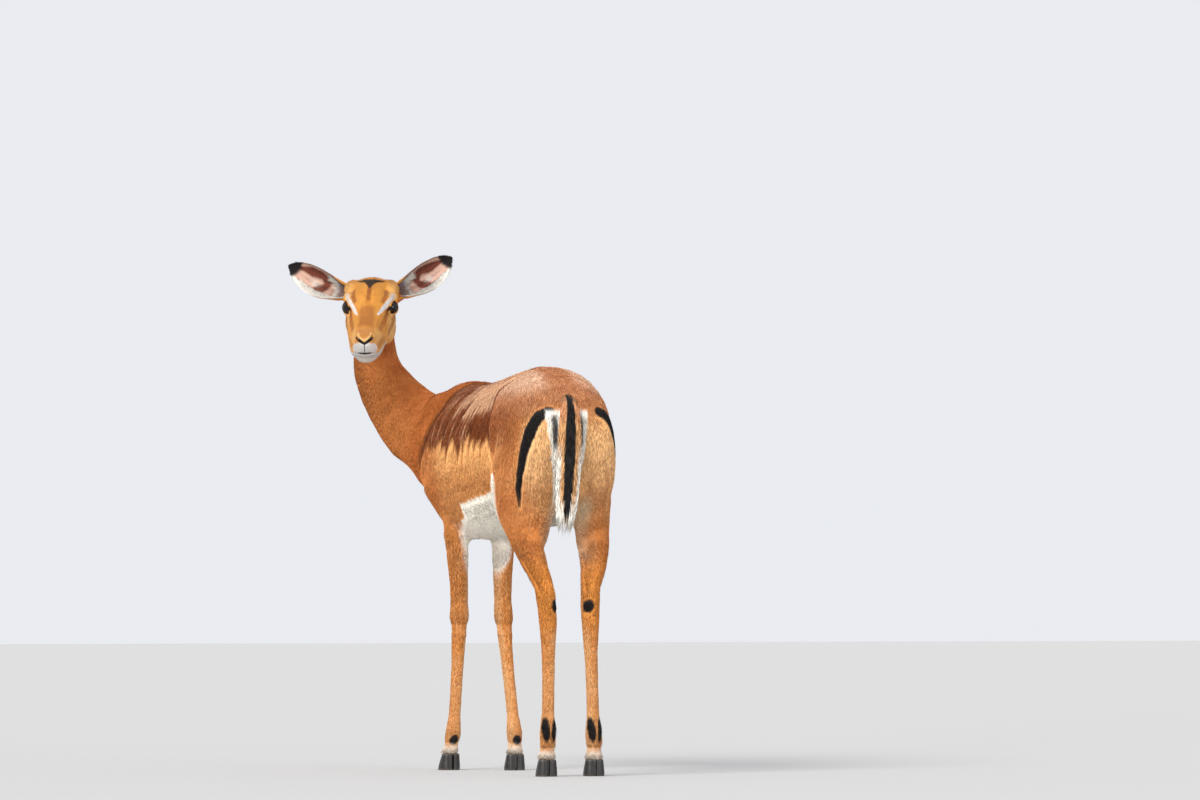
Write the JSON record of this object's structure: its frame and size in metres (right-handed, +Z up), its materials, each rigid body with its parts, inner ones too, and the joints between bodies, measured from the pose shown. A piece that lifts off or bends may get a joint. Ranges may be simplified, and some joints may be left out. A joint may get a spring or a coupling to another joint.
{
  "type": "impala",
  "caption": "Life-size standing female antelope that looks back over its left shoulder: slim legs on cloven hooves, spread leaf-shaped ears and a flat tail.",
  "frame": {"origin": "middle of the model's bounds in X and Y, at floor level under the hooves", "axes": "+Z up; the body faces -Y with the tail towards +Y; +X is the animal's left side, the side it looks back over"},
  "size_m": [0.4952, 0.9612, 1.1306],
  "materials": {
    "coat": "short, smooth fur",
    "ear": "thin hide with short fur outside and long sparse hair inside",
    "tail": "longer fringed hair",
    "eye": "wet and glossy",
    "hoof": "satin horn"
  },
  "bodies": {
    "root": {"trunk": "coat", "neck": "coat", "head": "coat", "ear_left": "ear", "ear_right": "ear", "eye_left": "eye", "eye_right": "eye", "tail": "tail", "leg_front_left": "coat", "leg_front_right": "coat", "leg_hind_left": "coat", "leg_hind_right": "coat", "claw_front_left_left": "hoof", "claw_front_left_right": "hoof", "claw_front_right_left": "hoof", "claw_front_right_right": "hoof", "claw_hind_left_left": "hoof", "claw_hind_left_right": "hoof", "claw_hind_right_left": "hoof", "claw_hind_right_right": "hoof"}
  },
  "joints": []
}
